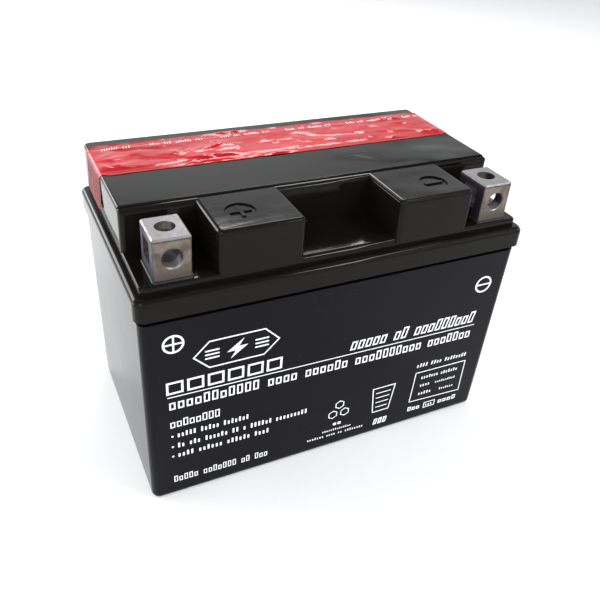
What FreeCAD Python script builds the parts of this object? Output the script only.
"""Sealed lead-acid motorcycle battery, dry charged, with a tear-off foil over its filler trough.

Frame: origin at the middle of the footprint on the standing surface, +Z up. The long side is X, and the
terminals are at the front, -Y, with the positive one on the left, -X. Millimetres.
"""

import FreeCAD, Part
import os

# ---- driving dimensions --------------------------------------------------------------------------
LENGTH = 150.0           # overall, along X, at the cover's flange
WIDTH = 87.0             # overall, along Y, at the cover's flange
HEIGHT = 110.0           # top of the raised block

# container
FLOOR_X = 145.4          # outside, at the bottom
FLOOR_Y = 82.0
SHOULDER_X = 147.8       # outside, just under the cover's flange
SHOULDER_Y = 84.4
SHOULDER_Z = 81.5        # leaves an open joint line under the cover
RIM_STEP = 1.2           # the rim stands in from the shoulder by this much
RIM_WALL = 1.9
WALL = 2.6
WELD_Z = 88.0            # plane where the rim and partitions are welded to the cover
CORNER_R = 3.0
CELLS = 6
CELL_PITCH = 23.6
PARTITION = 1.6

# cover
FLANGE_Z0 = 83.7
FLANGE_Z1 = 91.4
FLANGE_ROUND = (3.5, 2.0)   # of the upright edges, of the top edge
PLATFORM_ROUND = (2.0, 0.8)
BOSS_ROUND = (2.0, 1.5)
RECESS_LIP_R = 2.0       # front edge of the floor between the bosses
SKIRT_GAP = 0.3          # between the skirt and the container's rim
PLATFORM_X = 145.0       # terminal floor and raised block share these sides
PLATFORM_FRONT = -40.2
PLATFORM_BACK = 40.5
PLATFORM_Z = 94.2
BLOCK_FRONT = -17.8
LEDGE_Z = 109.4          # front ledge of the block, and the tops of the bosses
PANEL_FRONT = -15.2      # front edge of the top panel, which stands above the ledge
PANEL_LIP_R = 0.5
LEDGE_LIP_R = 2.0
BOSSES = ((-47.2, -17.0), (18.5, 49.5))
BOSS_ROOT = 2.0          # how far the bosses reach into the block
COVER_WALL = 2.4
DECK = 2.6
RECESS_Z = 94.6          # floor between the bosses
MARK_CENTRES = ((-35.6, -28.4), (38.5, -29.6))
MARK_DISC_R = 5.2
MARK_DEPTH = 0.55
MARK_BAR = (7.4, 1.2, 0.5)   # length, width, height over the disc

# filler trough and its ports
TROUGH_X = 135.0
TROUGH_Y0 = 11.0
TROUGH_Y1 = 31.4
TROUGH_FLOOR_Z = 100.0
TROUGH_CORNER_R = 3.0
PORT_R = 5.5
COLLAR_R = 7.0
COLLAR_Z0 = 91.0
LIP = 1.2
SPIKE = (1.8, 0.4, 97.0)  # base radius, tip radius, tip height
WEB = (1.2, 91.0, 94.5)   # thickness, bottom, top

# terminals, posts and their seals
TERMINAL_X = 61.25
TERMINAL_SIZE = (12.4, 14.9)
TERMINAL_FRONT = -38.8
TERMINAL_Z0 = 95.0
TERMINAL_Z1 = 109.4
TOP_PLATE = 3.0
FRONT_PLATE = 4.2
BACK_PLATE = 3.6
BASE_PLATE = 3.6
POCKET_R = 0.8           # edges of the nut's pocket
BOLT_R = 3.3             # clearance for an M6 bolt
TOP_BOLT_Y = -31.0
FRONT_BOLT_Z = 102.2
BOLT_CHAMFER = 0.4
EDGE_ROUND = 0.8          # upright edges
TOP_BEVEL = 0.5
PARTING_GROOVE = (0.25, 108.3, 108.6)   # depth, bottom, top of the groove round the terminal's head
GROOVE_CORNER_R = 0.4
POST_R = 3.5
POST_Y = -31.0
SLEEVE_R = 5.5
GUIDE_WALL = 2.0         # plastic round the sleeve's hole, under the deck
PAD = (13.4, 15.9)
PAD_ROUND = (1.2, 0.3)

# cell contents
CELL_FLOOR_Z = 3.0
POSITIVES = 4
POSITIVE_T = 1.9
NEGATIVE_T = 1.4
MAT_T = 0.88
MAT_GAP = 0.01
MAT_Y = 76.0
MAT_Z = 70.0
PLATE_Y = 73.6
PLATE_Z0 = 4.0
PLATE_Z1 = 68.0
LUG_Y = 10.0
STRAP_Y_CENTRE = 30.5
STRAP_X = 21.8
STRAP_Y = 12.0
STRAP_Z0 = 74.0
STRAP_Z1 = 78.0
UPRIGHT_T = 3.0
UPRIGHT_Z1 = 86.0
WELD_R = 3.5
WELD_CENTRE_Z = 81.8

# foil
FOIL_T = 0.2
FOIL_LIFT = 0.05         # clearance over the block's top
FOIL_Y0 = 7.8
FOIL_Y1 = 34.6
EDGE_R = 1.2             # rounding of the block's top edges, which the foil follows
TAB_Y0 = 9.6
TAB_Y1 = 32.8
TAB_Z0 = 95.4
TAB_CORNER_R = 3.0

V = FreeCAD.Vector


# ---- helpers -------------------------------------------------------------------------------------
def box(x0, x1, y0, y1, z0, z1):
    """Box between two corners."""
    return Part.makeBox(x1 - x0, y1 - y0, z1 - z0, V(x0, y0, z0))


def cylinder(x, y, z0, z1, radius):
    return Part.makeCylinder(radius, z1 - z0, V(x, y, z0))


def tapered_box(size0, size1, z0, z1):
    """Box centred on the Z axis whose outline grows from size0 at z0 to size1 at z1."""
    (x0, y0), (x1, y1) = size0, size1
    # makeWedge tapers along Y, so the wedge is made lying down and stood up.
    wedge = Part.makeWedge(-x0 / 2, z0, -y0 / 2, -y1 / 2, -x1 / 2, x0 / 2, z1, y0 / 2, y1 / 2, x1 / 2)
    wedge.rotate(V(0, 0, 0), V(1, 0, 0), 90)
    return wedge


def is_upright(edge):
    """True for a straight edge that runs mostly along Z."""
    a, b = edge.Vertexes[0].Point, edge.Vertexes[-1].Point
    return abs(b.z - a.z) > 0.9 * (b - a).Length > 0


def lies_at(edge, z):
    return all(abs(v.Point.z - z) < 1e-4 for v in edge.Vertexes)


def round_uprights(solid, radius, keep=lambda edge: True):
    edges = [e for e in solid.Edges if is_upright(e) and keep(e)]
    return solid.makeFillet(radius, edges)


def round_level(solid, z, radius, keep=lambda edge: True):
    edges = [e for e in solid.Edges if lies_at(e, z) and keep(e)]
    return solid.makeFillet(radius, edges)


def rounded_block(x0, x1, y0, y1, z0, z1, side_r, top_r):
    """Box with rounded upright edges and a rounded top edge."""
    solid = round_uprights(box(x0, x1, y0, y1, z0, z1), side_r)
    return round_level(solid, z1, top_r)


def fuse(shapes):
    shapes = list(shapes)
    return shapes[0].multiFuse(shapes[1:]).removeSplitter() if len(shapes) > 1 else shapes[0]


def save(name, shape):
    """Write a node as one solid, or as a group where it holds several."""
    solids = shape.Solids
    group = solids[0] if len(solids) == 1 else Part.makeCompound(solids)
    group.exportStep(f"parts/{name}.step")


def partition_x(index):
    """Middle of partition 1..5."""
    return (index - CELLS / 2) * CELL_PITCH


def cell_x(index):
    """Middle of cell 1..6."""
    return (index - (CELLS + 1) / 2) * CELL_PITCH


# ---- container -----------------------------------------------------------------------------------
def container():
    outside = tapered_box((FLOOR_X, FLOOR_Y), (SHOULDER_X, SHOULDER_Y), 0, SHOULDER_Z)
    outside = round_uprights(outside, CORNER_R)
    outside = round_level(outside, 0, CORNER_R * 0.8)
    rim_x, rim_y = (side / 2 - RIM_STEP for side in (SHOULDER_X, SHOULDER_Y))
    rim = round_uprights(box(-rim_x, rim_x, -rim_y, rim_y, SHOULDER_Z - 1, WELD_Z), CORNER_R - RIM_STEP)
    body = outside.fuse(rim)
    for cell in cells_inside():
        body = body.cut(cell)
    for index in range(1, CELLS):
        body = body.cut(weld_cylinder(index))
    return body.removeSplitter()


def cells_inside():
    """The six tapered hollows between the walls and partitions."""
    rim_x, rim_y = (side - 2 * RIM_STEP - 2 * RIM_WALL for side in (SHOULDER_X, SHOULDER_Y))
    hollow = tapered_box((FLOOR_X - 2 * WALL, FLOOR_Y - 2 * WALL), (rim_x, rim_y), WALL, WELD_Z)
    return [hollow.common(cell_slab(k, WALL, WELD_Z)) for k in range(1, CELLS + 1)]


def cell_slab(index, z0, z1):
    """Everything between the two partitions of cell 1..6, or out past the end wall."""
    x0 = partition_x(index - 1) + PARTITION / 2 if index > 1 else -LENGTH
    x1 = partition_x(index) - PARTITION / 2 if index < CELLS else LENGTH
    return box(x0, x1, -WIDTH, WIDTH, z0, z1)


# ---- cover ---------------------------------------------------------------------------------------
def cover():
    body = fuse(cover_outside())
    body = body.cut(skirt_hollow())
    body = body.cut(fuse(gas_spaces()))
    body = fuse([body] + [port_collar(k) for k in range(1, CELLS + 1)] + [post_guide(s) for s in (-1, 1)])
    body = body.cut(trough())
    body = fuse([body] + [port_lip(k) for k in range(1, CELLS + 1)])
    for k in range(1, CELLS + 1):
        body = body.cut(cylinder(cell_x(k), port_y(), COLLAR_Z0 - 1, TROUGH_FLOOR_Z + LIP + 1, PORT_R))
    for side in (-1, 1):
        body = body.cut(cylinder(side * TERMINAL_X, POST_Y, WELD_Z - 1, PLATFORM_Z + 1, SLEEVE_R))
    for x, y in MARK_CENTRES:
        body = body.cut(cylinder(x, y, LEDGE_Z - MARK_DEPTH, LEDGE_Z + 1, MARK_DISC_R))
    return fuse([body] + [port_web(k) for k in range(1, CELLS + 1)] + polarity_bars())


def cover_outside():
    half_x = PLATFORM_X / 2
    flange = rounded_block(-LENGTH / 2, LENGTH / 2, -WIDTH / 2, WIDTH / 2,
                           FLANGE_Z0, FLANGE_Z1, *FLANGE_ROUND)
    side_r, top_r = PLATFORM_ROUND
    platform = rounded_block(-half_x, half_x, PLATFORM_FRONT, PLATFORM_BACK,
                             WELD_Z, PLATFORM_Z, side_r, top_r)
    recess_left, recess_right = BOSSES[0][1], BOSSES[1][0]
    platform = platform.cut(box(recess_left, recess_right, -WIDTH, BLOCK_FRONT, WELD_Z + 1, HEIGHT))
    floor = box(recess_left, recess_right, PLATFORM_FRONT, BLOCK_FRONT + 1, WELD_Z, RECESS_Z)
    floor = round_level(floor, RECESS_Z, RECESS_LIP_R, lambda e: e.CenterOfMass.y < PLATFORM_FRONT + 0.1)
    block = round_uprights(box(-half_x, half_x, BLOCK_FRONT, PLATFORM_BACK, WELD_Z, LEDGE_Z), side_r)
    block = round_level(block, LEDGE_Z, top_r).cut(ledge_rounding())
    panel = round_uprights(box(-half_x, half_x, PANEL_FRONT, PLATFORM_BACK, LEDGE_Z - 3, HEIGHT), side_r,
                           lambda e: e.CenterOfMass.y > 0)
    panel = round_level(panel, HEIGHT, EDGE_R, lambda e: e.CenterOfMass.y > PANEL_FRONT + 0.1)
    panel = panel.makeFillet(PANEL_LIP_R, [e for e in panel.Edges if lies_at(e, HEIGHT)
                                           and e.CenterOfMass.y < PANEL_FRONT + 0.1])
    return [flange, platform, floor, block, panel] + [boss(*span) for span in BOSSES]


def ledge_rounding():
    """What a quarter round takes off the block's front top edge."""
    y, z = BLOCK_FRONT + LEDGE_LIP_R, LEDGE_Z - LEDGE_LIP_R
    bar = Part.makeCylinder(LEDGE_LIP_R, 2 * LENGTH, V(-LENGTH, y, z), V(1, 0, 0))
    return box(-LENGTH, LENGTH, BLOCK_FRONT - 1, y, z, LEDGE_Z + 1).cut(bar)


def boss(x0, x1):
    root_y = BLOCK_FRONT + BOSS_ROOT
    solid = box(x0, x1, PLATFORM_FRONT, root_y, WELD_Z, LEDGE_Z)
    side_r, top_r = BOSS_ROUND
    solid = round_uprights(solid, side_r, lambda e: e.CenterOfMass.y < BLOCK_FRONT)
    return round_level(solid, LEDGE_Z, top_r, lambda e: e.CenterOfMass.y < root_y - 0.1)


def skirt_hollow():
    """Room for the container's rim inside the skirt."""
    half_x = SHOULDER_X / 2 - RIM_STEP + SKIRT_GAP
    half_y = SHOULDER_Y / 2 - RIM_STEP + SKIRT_GAP
    hollow = box(-half_x, half_x, -half_y, half_y, FLANGE_Z0 - 1, WELD_Z)
    return round_uprights(hollow, CORNER_R - RIM_STEP + SKIRT_GAP)


def gas_spaces():
    """A hollow over each cell, under the deck, and the headspace they share in the block and its bosses."""
    inner_x = SHOULDER_X / 2 - RIM_STEP - RIM_WALL
    inner_y = PLATFORM_BACK - COVER_WALL
    front = BLOCK_FRONT + COVER_WALL
    roof = HEIGHT - DECK
    deck_z = PLATFORM_Z - DECK
    under_trough = TROUGH_FLOOR_Z - COVER_WALL
    trough_front = TROUGH_Y0 - COVER_WALL
    trough_back = TROUGH_Y1 + COVER_WALL
    under_deck = box(-inner_x, inner_x, PLATFORM_FRONT + COVER_WALL, inner_y, WELD_Z - 1, deck_z)
    rooms = [under_deck.common(cell_slab(k, WELD_Z - 1, HEIGHT)) for k in range(1, CELLS + 1)]
    rooms += [
        box(-inner_x, inner_x, front, trough_front, deck_z, roof),
        box(-inner_x, inner_x, trough_back, inner_y, deck_z, roof),
        box(-inner_x, inner_x, trough_front - 1, trough_back + 1, deck_z, under_trough),
    ]
    for x0, x1 in BOSSES:
        rooms.append(box(x0 + COVER_WALL, x1 - COVER_WALL, PLATFORM_FRONT + COVER_WALL, front + 1,
                         deck_z, LEDGE_Z - DECK))
    return rooms


def trough():
    pocket = box(-TROUGH_X / 2, TROUGH_X / 2, TROUGH_Y0, TROUGH_Y1, TROUGH_FLOOR_Z, HEIGHT + 1)
    return round_uprights(pocket, TROUGH_CORNER_R)


def port_y():
    return (TROUGH_Y0 + TROUGH_Y1) / 2


def port_collar(index):
    """Tube that hangs from the trough's floor round a filler port."""
    return cylinder(cell_x(index), port_y(), COLLAR_Z0, TROUGH_FLOOR_Z, COLLAR_R)


def port_lip(index):
    return cylinder(cell_x(index), port_y(), TROUGH_FLOOR_Z - 0.5, TROUGH_FLOOR_Z + LIP, COLLAR_R)


def port_web(index):
    """Cross at the bottom of a port, with the spike that pierces the acid pack."""
    thick, z0, z1 = WEB
    base_r, tip_r, tip_z = SPIKE
    x, y, reach = cell_x(index), port_y(), (PORT_R + COLLAR_R) / 2
    arms = [box(x - reach, x + reach, y - thick / 2, y + thick / 2, z0, z1),
            box(x - thick / 2, x + thick / 2, y - reach, y + reach, z0, z1)]
    spike = Part.makeCone(base_r, tip_r, tip_z - z0, V(x, y, z0))
    return fuse(arms + [spike])


def post_guide(side):
    """Solid boss under the deck, round the hole for a post."""
    return cylinder(side * TERMINAL_X, POST_Y, WELD_Z, PLATFORM_Z - 1, SLEEVE_R + GUIDE_WALL)


def polarity_bars():
    """Raised plus on the left boss and minus on the right one."""
    length, width, height = MARK_BAR
    z0 = LEDGE_Z - MARK_DEPTH - 0.2
    z1 = LEDGE_Z - MARK_DEPTH + height
    (plus_x, plus_y), (minus_x, minus_y) = MARK_CENTRES
    half, thin = length / 2, width / 2
    return [
        box(plus_x - half, plus_x + half, plus_y - thin, plus_y + thin, z0, z1),
        box(plus_x - thin, plus_x + thin, plus_y - half, plus_y + half, z0, z1),
        box(minus_x - half, minus_x + half, minus_y - thin, minus_y + thin, z0, z1),
    ]


# ---- terminals -----------------------------------------------------------------------------------
def terminal(side):
    x = side * TERMINAL_X
    size_x, size_y = TERMINAL_SIZE
    front, back = TERMINAL_FRONT, TERMINAL_FRONT + size_y
    half = size_x / 2
    body = round_uprights(box(x - half, x + half, front, back, TERMINAL_Z0, TERMINAL_Z1), EDGE_ROUND)
    body = body.makeChamfer(TOP_BEVEL, [e for e in body.Edges if lies_at(e, TERMINAL_Z1)])
    body = body.cut(parting_groove(x, front, back))
    pocket = box(x - size_x, x + size_x, front + FRONT_PLATE, back - BACK_PLATE,
                 TERMINAL_Z0 + BASE_PLATE, TERMINAL_Z1 - TOP_PLATE)
    along_x = [e for e in pocket.Edges if abs(e.Length - 2 * size_x) < 1e-6]
    body = body.cut(pocket.makeFillet(POCKET_R, along_x))
    body = body.cut(cylinder(x, TOP_BOLT_Y, TERMINAL_Z1 - TOP_PLATE - 1, TERMINAL_Z1 + 1, BOLT_R))
    body = body.cut(Part.makeCylinder(BOLT_R, FRONT_PLATE + 1, V(x, front - 0.5, FRONT_BOLT_Z), V(0, 1, 0)))
    mouth = V(x, front, FRONT_BOLT_Z)
    chamfer = Part.makeCone(BOLT_R + BOLT_CHAMFER, BOLT_R, BOLT_CHAMFER, mouth, V(0, 1, 0))
    body = body.cut(chamfer)
    return body.cut(cylinder(x, POST_Y, TERMINAL_Z0 - 1, TERMINAL_Z0 + BASE_PLATE + 1, POST_R))


def parting_groove(x, front, back):
    """Shallow groove that the mould's joint leaves round the head."""
    depth, z0, z1 = PARTING_GROOVE
    half = TERMINAL_SIZE[0] / 2
    ring = box(x - half - 1, x + half + 1, front - 1, back + 1, z0, z1)
    core = box(x - half + depth, x + half - depth, front + depth, back - depth, z0, z1)
    return ring.cut(round_uprights(core, GROOVE_CORNER_R))


def post(side):
    return cylinder(side * TERMINAL_X, POST_Y, STRAP_Z1, TERMINAL_Z0 + BASE_PLATE, POST_R)


def post_seal(side):
    """Sleeve round the post with a pad that the terminal stands on."""
    x = side * TERMINAL_X
    pad_x, pad_y = PAD
    middle = TERMINAL_FRONT + TERMINAL_SIZE[1] / 2
    pad = rounded_block(x - pad_x / 2, x + pad_x / 2, middle - pad_y / 2, middle + pad_y / 2,
                        PLATFORM_Z, TERMINAL_Z0, *PAD_ROUND)
    sleeve = cylinder(x, POST_Y, WELD_Z, PLATFORM_Z, SLEEVE_R)
    return pad.fuse(sleeve).cut(cylinder(x, POST_Y, WELD_Z - 1, TERMINAL_Z0 + 1, POST_R)).removeSplitter()


# ---- cell contents -------------------------------------------------------------------------------
def sign_side(index, positive):
    """-1 where the cell's strap of this sign is at the front, +1 where it is at the back."""
    return -1 if positive == (index % 2 == 1) else 1


def plate_centres():
    """X offsets of the positive and the negative plates from the middle of a cell."""
    step = POSITIVE_T + NEGATIVE_T + 2 * (MAT_T + 2 * MAT_GAP)
    positives = [(i - (POSITIVES - 1) / 2) * step for i in range(POSITIVES)]
    negatives = [(i - POSITIVES / 2) * step for i in range(POSITIVES + 1)]
    return positives, negatives


def plates(index, positive):
    """The cell's plates of one sign, each with its lug."""
    centres = plate_centres()[0 if positive else 1]
    thick = POSITIVE_T if positive else NEGATIVE_T
    lug_y = sign_side(index, positive) * STRAP_Y_CENTRE
    group = []
    for offset in centres:
        x0, x1 = cell_x(index) + offset - thick / 2, cell_x(index) + offset + thick / 2
        plate = box(x0, x1, -PLATE_Y / 2, PLATE_Y / 2, PLATE_Z0, PLATE_Z1)
        lug = box(x0, x1, lug_y - LUG_Y / 2, lug_y + LUG_Y / 2, PLATE_Z1, STRAP_Z0)
        group.append(fuse([plate, lug]))
    return Part.makeCompound(group)


def separators(index):
    """Glass mat folded under and round each positive plate."""
    group = []
    for offset in plate_centres()[0]:
        x = cell_x(index) + offset
        inner = POSITIVE_T / 2 + MAT_GAP
        outer = inner + MAT_T
        mat = box(x - outer, x + outer, -MAT_Y / 2, MAT_Y / 2, CELL_FLOOR_Z, MAT_Z)
        slot = box(x - inner, x + inner, -MAT_Y, MAT_Y, PLATE_Z0 - MAT_GAP, MAT_Z + 1)
        group.append(mat.cut(slot))
    return Part.makeCompound(group)


def strap(index, positive):
    """Bar over the lugs, with an upright against the partition that it is welded through."""
    x = cell_x(index)
    y = sign_side(index, positive) * STRAP_Y_CENTRE
    y0, y1 = y - STRAP_Y / 2, y + STRAP_Y / 2
    bar = box(x - STRAP_X / 2, x + STRAP_X / 2, y0, y1, STRAP_Z0, STRAP_Z1)
    if (index == 1 and positive) or (index == CELLS and not positive):
        return bar
    toward = -1 if positive else 1
    wall = x + toward * (CELL_PITCH - PARTITION) / 2
    x0, x1 = sorted((wall, wall - toward * UPRIGHT_T))
    upright = box(x0, x1, y0, y1, STRAP_Z0, UPRIGHT_Z1)
    return fuse([bar, upright])


def weld_cylinder(index):
    """Nugget through partition 1..5, joining cell index to the next one."""
    y = sign_side(index, False) * STRAP_Y_CENTRE
    x0 = partition_x(index) - PARTITION / 2
    return Part.makeCylinder(WELD_R, PARTITION, V(x0, y, WELD_CENTRE_Z), V(1, 0, 0))


# ---- foil ----------------------------------------------------------------------------------------
def foil_strip():
    """Flat strip over the trough, with both ends turned down over the block's rounded edges."""
    bend_x = PLATFORM_X / 2 - EDGE_R
    bend_z = HEIGHT - EDGE_R
    inner = EDGE_R + FOIL_LIFT
    outer = inner + FOIL_T
    flat = box(-bend_x, bend_x, FOIL_Y0, FOIL_Y1, bend_z + inner, bend_z + outer)
    bends = []
    for side in (-1, 1):
        start = V(side * bend_x, FOIL_Y0, bend_z)
        ring, core = (Part.makeCylinder(r, FOIL_Y1 - FOIL_Y0, start, V(0, 1, 0)) for r in (outer, inner))
        ring = ring.cut(core)
        x0, x1 = sorted((side * bend_x, side * (bend_x + outer + 1)))
        bends.append(ring.common(box(x0, x1, FOIL_Y0, FOIL_Y1, bend_z, HEIGHT + 5)))
    return fuse([flat] + bends)


def foil_tab(side):
    """End of the foil that hangs against the block's end wall."""
    inner = PLATFORM_X / 2 + FOIL_LIFT
    x0, x1 = sorted((side * inner, side * (inner + FOIL_T)))
    tab = box(x0, x1, TAB_Y0, TAB_Y1, TAB_Z0, HEIGHT - EDGE_R)
    corners = [e for e in tab.Edges if abs(e.Length - FOIL_T) < 1e-6 and lies_at(e, TAB_Z0)]
    return tab.makeFillet(TAB_CORNER_R, corners)


# ---- output --------------------------------------------------------------------------------------
def build():
    """Every node's name and shape."""
    nodes = {"container": container(), "cover": cover(), "foil_strip": foil_strip()}
    nodes["foil_tab_left"] = foil_tab(-1)
    nodes["foil_tab_right"] = foil_tab(1)
    for side, sign in ((-1, "positive"), (1, "negative")):
        nodes[f"terminal_{sign}"] = terminal(side)
        nodes[f"post_{sign}"] = post(side)
        nodes[f"post_seal_{sign}"] = post_seal(side)
    for k in range(1, CELLS + 1):
        nodes[f"positive_plates_{k}"] = plates(k, True)
        nodes[f"negative_plates_{k}"] = plates(k, False)
        nodes[f"separators_{k}"] = separators(k)
        nodes[f"positive_strap_{k}"] = strap(k, True)
        nodes[f"negative_strap_{k}"] = strap(k, False)
    for k in range(1, CELLS):
        nodes[f"cell_weld_{k}"] = weld_cylinder(k)
    return nodes


os.makedirs("parts", exist_ok=True)
for node, shape in build().items():
    save(node, shape)
